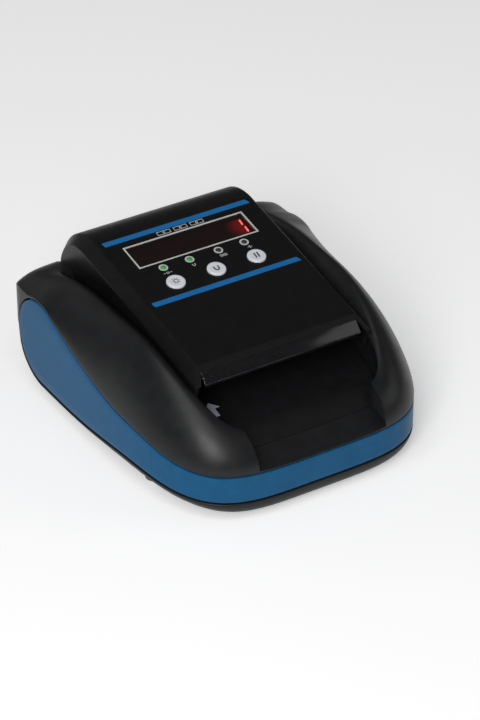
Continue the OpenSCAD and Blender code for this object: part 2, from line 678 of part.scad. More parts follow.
module uv_lamp_module() {
  color("#4a3f74") {
    translate([-22, 15.4, 45.5]) cube([44, 9.2, 4.6]);
    translate([-19, 17.6, 44.6]) cube([38, 4.8, 0.9]);
  }
}

module press_shaft(y) { translate([0, y, press_z]) rotate([0, 90, 0]) cylinder(r = 1.5, h = 66, center = true); }
module press_rollers(y) {
  for (s = [-1, 1]) translate([s * 20, y, press_z]) rotate([0, 90, 0]) difference() {
    cylinder(r = press_r, h = 14, center = true);
    cylinder(r = 1.5, h = 20, center = true);
  }
}
module front_press_shaft() { color("#c4c6c9") press_shaft(feed_y); }
module front_press_rollers() { color("#d9d5c9") press_rollers(feed_y); }
module rear_press_shaft() { color("#c4c6c9") press_shaft(exit_y); }
module rear_press_rollers() { color("#d9d5c9") press_rollers(exit_y); }

base_tray();
rubber_feet();
base_screws();
upper_shell();
trim_band();
feed_bed();
tray_arrow_label();
hinge_posts();
hinge_pins();
side_frames();
shaft_bushes();
drive_motor();
drive_belt();
magnetic_heads();
sensor_board();
encoder_sensor();
main_board();
board_screws();
board_parts();
dc_jack();
switch_housing();
switch_rocker();
motor_pulley();
feed_shaft();
feed_tyres();
feed_pulley();
encoder_disc();
exit_shaft();
exit_tyres();
exit_pulley();
lid_cover();
panel_overlay();
panel_stripes();
display_window();
window_frame();
digit_display();
panel_board();
panel_switches();
indicator_leds();
led_rings();
uv_button();
mg_button();
pause_button();
smoked_visor();
upper_guide();
roller_brackets();
press_springs();
uv_lamp_module();
front_press_shaft();
front_press_rollers();
rear_press_shaft();
rear_press_rollers();
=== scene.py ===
import bpy, bmesh, math
import numpy as np
from mathutils import Vector, Matrix
from mathutils.bvhtree import BVHTree


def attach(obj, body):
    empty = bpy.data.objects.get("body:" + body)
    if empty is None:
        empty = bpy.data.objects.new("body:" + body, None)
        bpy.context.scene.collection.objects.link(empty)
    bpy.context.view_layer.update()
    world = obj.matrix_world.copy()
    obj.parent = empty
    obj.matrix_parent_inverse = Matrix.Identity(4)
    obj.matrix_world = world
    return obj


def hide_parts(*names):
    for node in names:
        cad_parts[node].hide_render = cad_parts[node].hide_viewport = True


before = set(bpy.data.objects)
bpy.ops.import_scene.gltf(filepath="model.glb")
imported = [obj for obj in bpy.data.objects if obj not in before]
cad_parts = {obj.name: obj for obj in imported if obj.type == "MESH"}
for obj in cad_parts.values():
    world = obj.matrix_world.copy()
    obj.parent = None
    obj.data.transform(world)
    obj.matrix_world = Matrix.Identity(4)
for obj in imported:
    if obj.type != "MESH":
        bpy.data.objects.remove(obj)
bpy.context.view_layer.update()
MM = 0.001

# ---------------------------------------------------------------- form
A0, YC, LF, LR, NF, NR = 73.0, 50.0, 134.0, 34.0, 4.3, 8.0
RIDGE_Z, CREST_Z, RIDGE_IN, CREST_IN = 66.8, 38.8, 16.5, 11.0
BAND_YC, BAND_R, BAND_LOW, BAND_TOP = 51.2, 22.2, 10.2, 24.0
BAND_ZC = BAND_LOW + BAND_R
FLOOR_Z, SPLIT, BED_Z, BED_T = 2.5, 17.0, 41.5, 1.6
HY, HZ, HR, SL = 54.0, 51.5, 28.0, math.radians(10)
DHW, LHW, LIDT, LOW = 42.8, 47.2, 2.0, 46.5
DY0 = -42.5
DZ0 = HZ + (HR + math.sin(SL) * (DY0 - HY)) / math.cos(SL)
DLEN = (HY - DY0) * math.cos(SL) + (HZ - DZ0) * math.sin(SL)
U = np.array([0, math.cos(SL), math.sin(SL)])
N = np.array([0, -math.sin(SL), math.cos(SL)])
P0 = np.array([0, DY0, DZ0])


def ramp(y):
    return 25.4 + 0.2535 * (y + 84)


def top_curve(y):
    u = max(0.0, (y + 76) / 124)
    return BAND_TOP + 30.6 * (0.35 * u + 0.65 * u ** 1.9) + 1.9 * math.exp(-((y + 36) / 18) ** 2)


def low_curve(y):
    return BAND_LOW + 3.8 * math.exp(-((y + 28) / 34) ** 2)


def edge_top(y, g=0.0):
    return top_curve(y) + g if y < 43.3 else BAND_ZC + math.sqrt(max(0.0, (BAND_R + g) ** 2 - (y - BAND_YC) ** 2))


def edge_low(y, g=0.0):
    return low_curve(y) - g if y < BAND_YC else BAND_ZC - math.sqrt(max(0.0, (BAND_R + g) ** 2 - (y - BAND_YC) ** 2))


def station(side, half, s=None, c=None):
    n = NF if half < 0 else NR
    if c is None:
        c = max(0.0, 1 - s ** n) ** (1 / n)
    if s is None:
        s = max(0.0, 1 - c ** n) ** (1 / n)
    return (side, half, c, s)


def at(st, d):
    side, half, c, s = st
    return side * (A0 - d) * c, (YC - (LF - d) * s if half < 0 else YC + (LR - d) * s)


def facing(st):
    side, half, c, s = st
    n = NF if half < 0 else NR
    nx = c ** (n - 1) / A0
    ny = s ** (n - 1) / (LF if half < 0 else LR)
    return ny * ny / (nx * nx + ny * ny)


def front_quarter(m1, m2):
    return [station(1, -1, s=v) for v in np.linspace(0, 0.84, m1)] + [station(1, -1, c=v) for v in np.linspace(0.86, 0, m2)[1:]]


def rear_quarter(m1, m2):
    return [station(1, 1, s=v) for v in np.linspace(0.05, 0.86, m1)] + [station(1, 1, c=v) for v in np.concatenate([np.linspace(0.962, 0.80, m2), np.linspace(0.72, 0, 8)])]


def ring_of(front, rear):
    left = lambda q: (-q[0],) + tuple(q[1:])
    return rear[::-1] + front + [left(q) for q in front[-2::-1]] + [left(q) for q in rear[:-1]]


def ridge_height(y):
    if y > 0:
        return RIDGE_Z - 7.5 * (max(0.0, y - 22) / 46) ** 2
    return CREST_Z + (RIDGE_Z - CREST_Z) * math.cos(math.radians(90) * min(1, -y / (84 - CREST_IN)) ** 1.15)


def catmull(pts, k):
    pts = [np.array(p, float) for p in pts]
    out = []
    for i in range(1, len(pts) - 2):
        a, b, c, d = pts[i - 1:i + 3]
        for j in range(k):
            t = j / k
            out.append(0.5 * (2 * b + (c - a) * t + (2 * a - 5 * b + 4 * c - d) * t * t + (3 * b - 3 * c + d - a) * t ** 3))
    out.append(pts[-2])
    return out


def profile(st, w, v, fine):
    f = facing(st)
    wf, wr = (f, 0.0) if st[1] < 0 else (0.0, f)
    y0 = at(st, 0)[1]
    lo = edge_low(y0, 1.6)
    hi = edge_top(y0, 1.6) if y0 < 43.3 else max(edge_top(y0, 1.6), 54 - 8 * wr)
    db, eb = 10 - 5.5 * wf + 12 * wr - 20 * max(0, wr - 0.5), 1.3 + 0.7 * (wf + wr)
    dr = RIDGE_IN - (RIDGE_IN - CREST_IN) * wf
    eu = 1.35 + 0.3 * wf + 0.95 * wr
    zr = ridge_height(at(st, dr)[1]) - v
    zf = FLOOR_Z + v
    lows = np.linspace(90, 0, 12 if fine else 6)[:-1]
    ups = np.linspace(0, 90, 30 if fine else 9)[1:]
    rows = [(w + db * (1 - max(0, math.cos(math.radians(p))) ** (2 / eb)), lo - (lo - zf) * math.sin(math.radians(p)) ** (2 / eb)) for p in lows]
    rows += [(w, lo + (hi - lo) * k) for k in ((0, 0.25, 0.5, 0.75, 1) if fine else (0, 1))]
    up = [(w + (dr - 0.9 * w) * (1 - max(0, math.cos(math.radians(p))) ** (2 / eu)), hi + (zr - hi) * math.sin(math.radians(p)) ** (2 / eu)) for p in ups]
    tail = [(dr + w * 0.1 + 1.6, zr - 0.3), (dr + w * 0.1 + 4, zr - 2.2 - 0.2 * w), (dr + w * 0.1 + 9, zr - 7.2 - 0.2 * w), (dr + 15, 54 - 5 * v)]
    if fine:
        return rows + up[:-1] + [tuple(p) for p in catmull([up[-3], up[-1]] + tail + [(dr + 18, 52 - 5 * v)], 5)]
    return rows + up + tail


# ---------------------------------------------------------------- mesh tools
def new_mesh(name, verts, faces):
    me = bpy.data.meshes.new(name)
    me.from_pydata([tuple(float(c) * MM for c in v) for v in verts], [], [tuple(f) for f in faces])
    me.update()
    o = bpy.data.objects.new(name, me)
    bpy.context.scene.collection.objects.link(o)
    return o


def tidy(o, dist=1e-6):
    bm = bmesh.new()
    bm.from_mesh(o.data)
    bmesh.ops.remove_doubles(bm, verts=bm.verts, dist=dist)
    bmesh.ops.dissolve_degenerate(bm, dist=dist * 0.5, edges=bm.edges)
    bmesh.ops.recalc_face_normals(bm, faces=bm.faces)
    bm.to_mesh(o.data)
    bm.free()
    return o


def loops(name, ring_rows, cap=True):
    """Closed solid from rows that are rings of the same length."""
    n = len(ring_rows[0])
    verts = [p for r in ring_rows for p in r]
    faces = []
    for j in range(len(ring_rows) - 1):
        for i in range(n):
            k = (i + 1) % n
            faces.append((j * n + i, j * n + k, (j + 1) * n + k, (j + 1) * n + i))
    if cap:
        faces.append(tuple(range(n - 1, -1, -1)))
        faces.append(tuple((len(ring_rows) - 1) * n + i for i in range(n)))
    return tidy(new_mesh(name, verts, faces))


def prism(name, poly, axis, lo, hi):
    """A polygon extruded along x, y or z. poly is in the two other axes, in x y z order."""
    def p3(a, b, c):
        return {"x": (c, a, b), "y": (a, c, b), "z": (a, b, c)}[axis]
    return loops(name, [[p3(a, b, lo) for a, b in poly], [p3(a, b, hi) for a, b in poly]])


def box(name, lo, hi):
    return prism(name, [(lo[0], lo[1]), (hi[0], lo[1]), (hi[0], hi[1]), (lo[0], hi[1])], "z", lo[2], hi[2])


def tube(name, centre, axis, r, lo, hi, seg=64, r2=None):
    r2 = r if r2 is None else r2
    rows = []
    for rr, t in ((r, lo), (r2, hi)):
        row = []
        for k in range(seg):
            a = 2 * math.pi * k / seg
            u, v = rr * math.cos(a), rr * math.sin(a)
            row.append({"x": (t, centre[0] + u, centre[1] + v), "y": (centre[0] + u, t, centre[1] + v), "z": (centre[0] + u, centre[1] + v, t)}[axis])
        rows.append(row)
    return loops(name, rows)


def apply_all(o):
    dg = bpy.context.evaluated_depsgraph_get()
    me = bpy.data.meshes.new_from_object(o.evaluated_get(dg), depsgraph=dg)
    old = o.data
    o.modifiers.clear()
    o.data = me
    bpy.data.meshes.remove(old)
    return o


def cut(o, *tools, op="DIFFERENCE", solver="MANIFOLD"):
    for t in tools:
        m = o.modifiers.new("cut", "BOOLEAN")
        m.operation = op
        m.object = t
        m.solver = solver
        before = len(o.data.polygons)
        apply_all(o)
        if len(o.data.polygons) == 0 or (op == "DIFFERENCE" and len(o.data.polygons) < 4):
            raise RuntimeError("boolean lost " + o.name)
        me = t.data
        bpy.data.objects.remove(t)
        bpy.data.meshes.remove(me)
    return o


def soften(o, width, angle=30, where=None, seg=2):
    bm = bmesh.new()
    bm.from_mesh(o.data)
    bmesh.ops.remove_doubles(bm, verts=bm.verts, dist=0.02 * MM)
    pick = []
    for e in bm.edges:
        if len(e.link_faces) == 2 and e.calc_face_angle(0) > math.radians(angle):
            m = (e.verts[0].co + e.verts[1].co) / 2 / MM
            if where is None or where(m):
                pick.append(e)
    if pick:
        bmesh.ops.bevel(bm, geom=pick, offset=width * MM, segments=seg, profile=0.5, affect="EDGES", clamp_overlap=True)
    bm.to_mesh(o.data)
    bm.free()
    return o


def smooth(o, angle=32):
    o.data.shade_smooth()
    o.data.set_sharp_from_angle(angle=math.radians(angle))
    return o


# ---------------------------------------------------------------- materials
def material(name, base, rough, grain=0.12, grain_scale=5200, vary=0.18, vary_scale=160, metallic=0.0, coat=0.0, spec=0.5,
             wear=0.0, alpha=None, tint=None, brushed=False, aniso=0.0, dust=0.0):
    m = bpy.data.materials.new(name)
    m.use_nodes = True
    nt = m.node_tree
    nd, lk = nt.nodes, nt.links
    b = nd["Principled BSDF"]
    b.inputs["Metallic"].default_value = metallic
    b.inputs["Specular IOR Level"].default_value = spec
    b.inputs["Coat Weight"].default_value = coat
    b.inputs["Coat Roughness"].default_value = 0.12
    if aniso:
        b.inputs["Anisotropic"].default_value = aniso
    tc = nd.new("ShaderNodeTexCoord")
    mp = nd.new("ShaderNodeMapping")
    lk.new(tc.outputs["Object"], mp.inputs["Vector"])
    if brushed:
        mp.inputs["Scale"].default_value = (0.04, 1.0, 1.0)
    big = nd.new("ShaderNodeTexNoise")
    big.inputs["Scale"].default_value = vary_scale
    big.inputs["Detail"].default_value = 5
    lk.new(mp.outputs["Vector"], big.inputs["Vector"])
    fine = nd.new("ShaderNodeTexNoise")
    fine.inputs["Scale"].default_value = grain_scale
    fine.inputs["Detail"].default_value = 3
    lk.new(mp.outputs["Vector"], fine.inputs["Vector"])
    ramp_ = nd.new("ShaderNodeValToRGB")
    lo = [c * (1 - vary) for c in base]
    hi = [min(1, c * (1 + vary)) for c in (tint or base)]
    ramp_.color_ramp.elements[0].color = (*lo, 1)
    ramp_.color_ramp.elements[1].color = (*hi, 1)
    ramp_.color_ramp.elements[0].position = 0.3
    ramp_.color_ramp.elements[1].position = 0.7
    lk.new(big.outputs["Fac"], ramp_.inputs["Fac"])
    colour = ramp_.outputs["Color"]
    if wear:
        geo = nd.new("ShaderNodeNewGeometry")
        pr = nd.new("ShaderNodeMapRange")
        pr.inputs["From Min"].default_value = 0.52
        pr.inputs["From Max"].default_value = 0.62
        lk.new(geo.outputs["Pointiness"], pr.inputs["Value"])
        mul = nd.new("ShaderNodeMath")
        mul.operation = "MULTIPLY"
        mul.inputs[1].default_value = wear
        lk.new(pr.outputs["Result"], mul.inputs[0])
        mul2 = nd.new("ShaderNodeMath")
        mul2.operation = "MULTIPLY"
        lk.new(mul.outputs[0], mul2.inputs[0])
        lk.new(big.outputs["Fac"], mul2.inputs[1])
        mix = nd.new("ShaderNodeMix")
        mix.data_type = "RGBA"
        mix.inputs["B"].default_value = (*[min(1, c * 3 + 0.02) for c in base], 1)
        lk.new(mul2.outputs[0], mix.inputs["Factor"])
        lk.new(colour, mix.inputs["A"])
        colour = mix.outputs["Result"]
    if dust:
        geo2 = nd.new("ShaderNodeNewGeometry")
        sep = nd.new("ShaderNodeSeparateXYZ")
        lk.new(geo2.outputs["Normal"], sep.inputs["Vector"])
        up = nd.new("ShaderNodeMapRange")
        up.inputs["From Min"].default_value = 0.4
        up.inputs["From Max"].default_value = 1.0
        up.inputs["To Max"].default_value = dust
        lk.new(sep.outputs["Z"], up.inputs["Value"])
        m3 = nd.new("ShaderNodeMath")
        m3.operation = "MULTIPLY"
        lk.new(up.outputs["Result"], m3.inputs[0])
        lk.new(fine.outputs["Fac"], m3.inputs[1])
        mix2 = nd.new("ShaderNodeMix")
        mix2.data_type = "RGBA"
        mix2.inputs["B"].default_value = (0.30, 0.29, 0.27, 1)
        lk.new(m3.outputs[0], mix2.inputs["Factor"])
        lk.new(colour, mix2.inputs["A"])
        colour = mix2.outputs["Result"]
    lk.new(colour, b.inputs["Base Color"])
    rr = nd.new("ShaderNodeMapRange")
    rr.inputs["To Min"].default_value = max(0.02, rough * 0.8)
    rr.inputs["To Max"].default_value = min(1, rough * 1.22)
    lk.new(big.outputs["Fac"], rr.inputs["Value"])
    lk.new(rr.outputs["Result"], b.inputs["Roughness"])
    bump = nd.new("ShaderNodeBump")
    bump.inputs["Strength"].default_value = grain
    bump.inputs["Distance"].default_value = 0.00006
    lk.new(fine.outputs["Fac"], bump.inputs["Height"])
    lk.new(bump.outputs["Normal"], b.inputs["Normal"])
    if alpha is not None:
        b.inputs["Alpha"].default_value = alpha
        m.surface_render_method = "BLENDED"
    return m


M = {
    "shell": material("shell_plastic_m", (0.0100, 0.0104, 0.0114), 0.36, grain=0.22, vary=0.12, wear=0.3, spec=0.3),
    "base": material("tray_plastic_m", (0.011, 0.0115, 0.0125), 0.44, grain=0.3, vary=0.14, wear=0.25, spec=0.25),
    "lid": material("lid_plastic_m", (0.0055, 0.0055, 0.006), 0.37, grain=0.22, vary=0.12, wear=0.3, spec=0.26),
    "overlay": material("overlay_m", (0.0050, 0.0050, 0.0053), 0.46, spec=0.22, grain=0.1, vary=0.08, grain_scale=7000),
    "band": material("trim_blue_m", (0.012, 0.088, 0.198), 0.36, grain=0.18, vary=0.07, spec=0.07, wear=0.03),
    "stripe": material("stripe_blue_m", (0.012, 0.16, 0.44), 0.36, spec=0.25, grain=0.06, vary=0.05),
    "bed": material("bed_plastic_m", (0.009, 0.009, 0.010), 0.24, grain=0.1, vary=0.15, spec=0.4),
    "window": material("window_red_m", (0.010, 0.0012, 0.0015), 0.10, grain=0.02, vary=0.1, coat=0.3, alpha=0.72),
    "white": material("print_white_m", (0.62, 0.62, 0.62), 0.5, grain=0.08, vary=0.08),
    "key": material("button_white_m", (0.78, 0.80, 0.86), 0.4, grain=0.08, vary=0.04, coat=0.1),
    "icon": material("icon_grey_m", (0.05, 0.055, 0.065), 0.5, grain=0.05, vary=0.1),
    "visor": material("visor_smoke_m", (0.008, 0.008, 0.009), 0.14, grain=0.0, vary=0.1, coat=0.0, alpha=0.8),
    "rubber": material("rubber_black_m", (0.016, 0.016, 0.016), 0.78, grain=0.5, vary=0.25, grain_scale=2600),
    "tyre": material("rubber_grey_m", (0.055, 0.055, 0.057), 0.72, grain=0.5, vary=0.2, grain_scale=2600),
    "press": material("press_pale_m", (0.52, 0.49, 0.42), 0.45, grain=0.1, vary=0.06),
    "nylon": material("pulley_nylon_m", (0.55, 0.53, 0.45), 0.42, grain=0.1, vary=0.06),
    "steel": material("steel_m", (0.52, 0.53, 0.55), 0.27, grain=0.08, vary=0.08, metallic=1.0, brushed=True, aniso=0.3),
    "zinc": material("frame_steel_m", (0.42, 0.43, 0.45), 0.38, grain=0.12, vary=0.18, metallic=1.0, vary_scale=420),
    "bronze": material("bronze_m", (0.50, 0.33, 0.12), 0.42, grain=0.25, vary=0.15, metallic=1.0),
    "board": material("board_green_m", (0.012, 0.11, 0.035), 0.36, grain=0.15, vary=0.3, vary_scale=900, coat=0.15),
    "black": material("part_black_m", (0.02, 0.02, 0.022), 0.48, grain=0.2, vary=0.15),
    "head": material("head_gold_m", (0.46, 0.38, 0.22), 0.33, grain=0.1, vary=0.1, metallic=1.0),
    "label": material("label_white_m", (0.36, 0.39, 0.46), 0.5, grain=0.06, vary=0.06),
    "lamp": material("lamp_violet_m", (0.06, 0.035, 0.16), 0.25, grain=0.05, vary=0.1, coat=0.3),
    "led_off": material("led_off_m", (0.03, 0.035, 0.033), 0.2, grain=0.03, vary=0.1, coat=0.3),
}


def glow(name, base, emit, strength, rough=0.3):
    m = material(name, base, rough, grain=0.02, vary=0.1)
    b = m.node_tree.nodes["Principled BSDF"]
    b.inputs["Emission Color"].default_value = (*emit, 1)
    b.inputs["Emission Strength"].default_value = strength
    return m


M["led_on"] = glow("led_green_m", (0.03, 0.24, 0.05), (0.10, 0.80, 0.14), 0.16)
M["digit"] = glow("digit_red_m", (0.5, 0.02, 0.02), (1.0, 0.16, 0.12), 16.0)

# display block: dark, with the red light of the digit spreading round it
dm = material("display_dark_m", (0.010, 0.0015, 0.0015), 0.5, grain=0.05, vary=0.2)
_n, _l = dm.node_tree.nodes, dm.node_tree.links
_tc = _n.new("ShaderNodeTexCoord")
_c = (P0 + U * 78.4 + N * -2.3) * MM
_sub = _n.new("ShaderNodeVectorMath")
_sub.operation = "DISTANCE"
_sub.inputs[1].default_value = (29.6 * MM, float(_c[1]), float(_c[2]))
_l.new(_tc.outputs["Object"], _sub.inputs[0])
_mr = _n.new("ShaderNodeMapRange")
_mr.interpolation_type = "SMOOTHERSTEP"
_mr.inputs["From Min"].default_value = 0.001
_mr.inputs["From Max"].default_value = 0.0105
_mr.inputs["To Min"].default_value = 1.0
_mr.inputs["To Max"].default_value = 0.0
_l.new(_sub.outputs["Value"], _mr.inputs["Value"])
_cr = _n.new("ShaderNodeValToRGB")
_cr.color_ramp.elements[0].color = (0.004, 0.0002, 0.0003, 1)
_cr.color_ramp.elements[1].color = (0.9, 0.02, 0.02, 1)
_l.new(_mr.outputs["Result"], _cr.inputs["Fac"])
_l.new(_cr.outputs["Color"], _n["Principled BSDF"].inputs["Emission Color"])
_n["Principled BSDF"].inputs["Emission Strength"].default_value = 1.4
M["display"] = dm


def dress(o, mat, body, slot, *nodes):
    o.data.materials.clear()
    o.data.materials.append(M[mat])
    for p in o.data.polygons:
        p.material_index = 0
    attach(o, body)
    if nodes:
        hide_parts(*nodes)
    return o


# ---------------------------------------------------------------- body shell and base
front = front_quarter(40, 34)
rear = rear_quarter(14, 10)
ring = ring_of(front, rear)
coarse = ring_of(front_quarter(14, 12), rear_quarter(7, 6))


def skin(name, w, v, fine=True):
    r = ring if fine else coarse
    prof = [profile(st, w, v, fine) for st in r]
    rows = []
    for j in range(len(prof[0])):
        rows.append([(*at(r[i], prof[i][j][0]), prof[i][j][1]) for i in range(len(r))])
    return loops(name, rows)


def strip_stations(g, end, k1, k2, k3):
    half = []
    for k in range(k1):
        y = BAND_YC + (BAND_R + g) * math.sin(math.radians(end * (1 - k / k1)))
        half.append(station(1, 1, s=max(0.0, (y - YC) / LR)))
    half += [station(1, -1, s=v) for v in np.linspace(0, 0.84, k2)]
    half += [station(1, -1, c=v) for v in np.linspace(0.86, 0, k3)[1:]]
    return half + [(-q[0],) + tuple(q[1:]) for q in half[-2::-1]]


def sweep(name, sts, section, g):
    rows = []
    for st in sts:
        y = at(st, 0)[1]
        rows.append([(*at(st, d), z) for d, z in section(edge_low(y, g), edge_top(y, g))])
    return loops(name, rows)


def groove():
    def sec(zl, zt):
        return [(-2, zl - 0.55), (-2, zt + 0.55), (-0.03, zt + 0.55), (0.1, zt + 0.22), (0.33, zt + 0.05), (0.65, zt), (2.4, zt),
                (2.4, zl), (0.65, zl), (0.33, zl - 0.05), (0.1, zl - 0.22), (-0.03, zl - 0.55)]
    return sweep("groove", strip_stations(0.88, 88.6, 26, 44, 36), sec, 0.88)


def band_section(zl, zt):
    k = min(0.5, 0.4 * (zt - zl))
    rows = [(0.5, zl), (0.15, zl + 0.24 * k), (0.02, zl + k)]
    rows += [(0.0, zl + k + (zt - zl - 2 * k) * t) for t in (0.12, 0.3, 0.5, 0.7, 0.88)]
    rows += [(0.02, zt - k), (0.15, zt - 0.24 * k), (0.5, zt), (2.3, zt), (2.3, zl)]
    return rows


def well_plan(g, fine=True):
    n, l, hw = 8, 120.0, 48.9
    a = np.linspace(0, 0.84, 40 if fine else 8)
    fr = [((1 - s ** n) ** (1 / n), s) for s in a] + [(q, (1 - q ** n) ** (1 / n)) for q in np.linspace(0.93, 0, 30 if fine else 10)[1:]]
    r = [((hw + g) * c, YC - (l + g) * s) for c, s in fr]
    return [(-hw - g, 95), (hw + g, 95)] + r + [(-x, y) for x, y in r[-2::-1]]


def well_side(drop):
    f = lambda y: ramp(y) - BED_T - drop - 0.05
    return prism("ws", [(-100, f(-100)), (-27, f(-27)), (-22, f(-27) + 0.75), (-16, BED_Z - BED_T - drop - 0.05), (100, BED_Z - BED_T - drop - 0.05), (100, 130), (-100, 130)], "x", -60, 60)


def well(g, drop, fine=True):
    return cut(prism("well", well_plan(g, fine), "z", 0.0, 120.0), well_side(drop), op="INTERSECT")


outer = skin("outer", 0, 0)
bm = bmesh.new()
bm.from_mesh(outer.data)
tree = BVHTree.FromBMesh(bm)
bm.free()


def height(x, y, other):
    hit = tree.ray_cast(Vector((x * MM, y * MM, 0.2)), Vector((0, 0, -1)))[0]
    return hit.z / MM if hit else other


def flared_well(r):
    plan = well_plan(0)
    m = len(plan)
    rows = {k: [] for k in range(9)}
    for i, (x, y) in enumerate(plan):
        ax, ay = plan[i - 1]
        bx, by = plan[(i + 1) % m]
        t = Vector((bx - ax, by - ay)).normalized()
        nx, ny = t.y, -t.x
        if i < 2:
            nx, ny = 0, 0
        z0 = height(x, y, 42)
        rows[0].append((x, y, 0))
        rows[1].append((x, y, max(5, z0 - 2.4 * r)))
        for k in range(6):
            a = math.radians(90 * k / 5)
            o = r * (1 - math.cos(a))
            px, py = x + nx * o, y + ny * o
            zs = height(px, py, z0)
            rows[2 + k].append((px, py, zs - r * (1 - math.sin(a)) + (0.04 if k == 5 else 0)))
        rows[8].append((x + nx * (r + 0.05), y + ny * (r + 0.05), 120))
    return loops("flare", [rows[k] for k in range(9)])


shell = outer.copy()
shell.data = outer.data.copy()
bpy.context.scene.collection.objects.link(shell)
shell.name = "upper_shell_moulding"
base = outer
base.name = "base_tray_moulding"

hollow = skin("hollow", 4.4, 2.4, fine=False)
cut(hollow, well(2.3, 3, fine=True))
cut(hollow, prism("sill", [(-90, 0), (-68.6, 0), (-68.6, 46), (-90, 46)], "x", -38, 38))
cut(shell, hollow)
cut(shell, cut(flared_well(1.1), well_side(0), op="INTERSECT"))
notch = prism("notch", [(-34, 10), (34, 10), (34, 30), (36.2, 60), (-36.2, 60), (-34, 30)], "y", -100, -60)
cut(notch, prism("ns", [(-101, ramp(-101)), (-59, ramp(-59)), (-59, 80), (-101, 80)], "x", -61, 61), op="INTERSECT")
cut(shell, notch)
cut(shell, groove())
cut(shell, box("b", (-90, -95, -5), (90, 95, SPLIT + 0.08)))
cut(shell, tube("t", (HY, HZ), "x", HR + 0.5, -48.3, 48.3, 200))
for s in (-1, 1):
    cut(shell, tube("t", (HY, HZ), "x", 2.8, s * 50 - 4, s * 50 + 4, 48))
cut(shell, box("b", (-44.5, -21, 20), (44.5, 74, 45)))
shell_extra = []
soften(shell, 0.45, angle=40, where=lambda m: (m.y < -62 and m.z > 28 and 32 < abs(m.x) < 39), seg=3)
smooth(shell, 38)
dress(shell, "shell", "root", "shell_plastic", "upper_shell")

cut(base, skin("hollow2", 4.4, 2.4, fine=False))
screw_xy = [(60, -34), (-60, -34), (62, 26), (-62, 26)]
foot_xy = [(43, -52), (-43, -52), (46, 48), (-46, 48)]
block = skin("blk", 0.02, 0.02, fine=False)
cut(block, box("b", (12, 73.4, 3), (62, 82.4, 16.9)), op="INTERSECT")
cut(base, block, op="UNION")
for x, y in screw_xy:
    t = tube("t", (x, y), "z", 5, 3.6, 16.9, 48, r2=4.4)
    cut(base, t, op="UNION")
for lo, hi in (((-44.8, -30, 4), (-43.2, 10, 9)), ((43.2, -30, 4), (44.8, 10, 9)), ((-20.8, 62, 4), (-19.2, 70, 9)), ((-0.8, -66, 4), (0.8, -62, 9))):
    cut(base, box("r", lo, hi), op="UNION")
cut(base, groove())
cut(base, box("b", (-90, -95, SPLIT - 0.08), (90, 95, 100)))
cut(base, box("b", (14, 76.2, 4.6), (60, 88.2, 17.6)))
cut(base, tube("t", (50, 10.8), "y", 4.7, 60, 90, 64))
cut(base, box("b", (22.3, 60, 5.4), (37.7, 90, 16.2)))
for x, y in screw_xy:
    cut(base, tube("t", (x, y), "z", 3.3, 1, 5.2, 48), tube("t", (x, y), "z", 1.8, -1, 30, 48))
for x, y in foot_xy:
    cut(base, tube("t", (x, y), "z", 6.2, 0, 3.4, 64))
for x in range(-24, 25, 6):
    cut(base, box("v", (x - 1.25, -8, -1), (x + 1.25, 28, 10)))
soften(base, 0.25, angle=50, where=lambda m: m.z < 3.2 and abs(m.x) < 27 and -9 < m.y < 29, seg=2)
smooth(base, 38)
dress(base, "base", "root", "tray_plastic", "base_tray")

band = sweep("trim_band_moulding", strip_stations(0, 88.5, 26, 70, 50), band_section, 0)
smooth(band, 40)
dress(band, "band", "root", "trim_blue", "trim_band")


# ---------------------------------------------------------------- lid
def fillet(poly, radii, seg=6):
    out = []
    for i, p in enumerate(poly):
        r = radii[i]
        if r == 0:
            out.append(p)
            continue
        p, a, b = Vector(p), Vector(poly[i - 1]), Vector(poly[i + 1])
        u, v = (a - p).normalized(), (b - p).normalized()
        ang = u.angle(v)
        d = r / math.tan(ang / 2)
        c = p + (u + v).normalized() * (r / math.sin(ang / 2))
        s, e = p + u * d - c, p + v * d - c
        a0, a1 = math.atan2(s.y, s.x), math.atan2(e.y, e.x)
        da = (a1 - a0 + math.pi) % (2 * math.pi) - math.pi
        for k in range(seg + 1):
            t = a0 + da * k / seg
            out.append((c.x + r * math.cos(t), c.y + r * math.sin(t)))
    return out


def lid_path(e):
    """(point, normal, depth of the side's foot, chamfer depth) along the lid's middle."""
    out = []
    for s in np.concatenate([np.linspace(-20, -0.5, 5), np.linspace(0, DLEN, 40)]):
        out.append((P0 + U * s, N, 45.0, 6.3))
    for a in np.linspace(100, -80, 61)[1:]:
        n = np.array([0, math.cos(math.radians(a)), math.sin(math.radians(a))])
        k = min(1, (100 - a) / 50)
        k = k * k * (3 - 2 * k)
        out.append((np.array([0, HY, HZ]) + n * HR, n, HR, 6.3 - 2.3 * k))
    return out


def lid_solid(name, e):
    rows = []
    for p, n, foot, ch in lid_path(e):
        ra, rb = (1.8, 1.3) if e == 0 else (0.8, 0.6)
        x1, x2 = LHW - e, DHW - e * 0.4
        c = ch + e * 0.4
        poly = [(-x1, -min(foot, c + 12)), (-x1, -c), (-x2, -e), (x2, -e), (x1, -c), (x1, -min(foot, c + 12))]
        sec = fillet(poly, [0, rb, ra, ra, rb, 0])
        mid = len(sec) // 2
        top = [((-x2 + 2) + (2 * x2 - 4) * k / 8, -e) for k in range(9)]
        sec = sec[:mid] + top + sec[mid:]
        sec = [(-x1, -foot)] + sec + [(x1, -foot)]
        rows.append([tuple(p + n * d + np.array([x, 0, 0])) for x, d in sec])
    return loops(name, rows)


lid = lid_solid("lid_cover_moulding", 0)
cut(lid, prism("side", [(DY0, DZ0), (DY0 - 6.6, DZ0 - 6.9), (DY0 - 4.4, LOW), (100, LOW), (100, 100), (DY0, 100)], "x", -60, 60), op="INTERSECT")
cut(lid, lid_solid("lid_inner", 2.0))


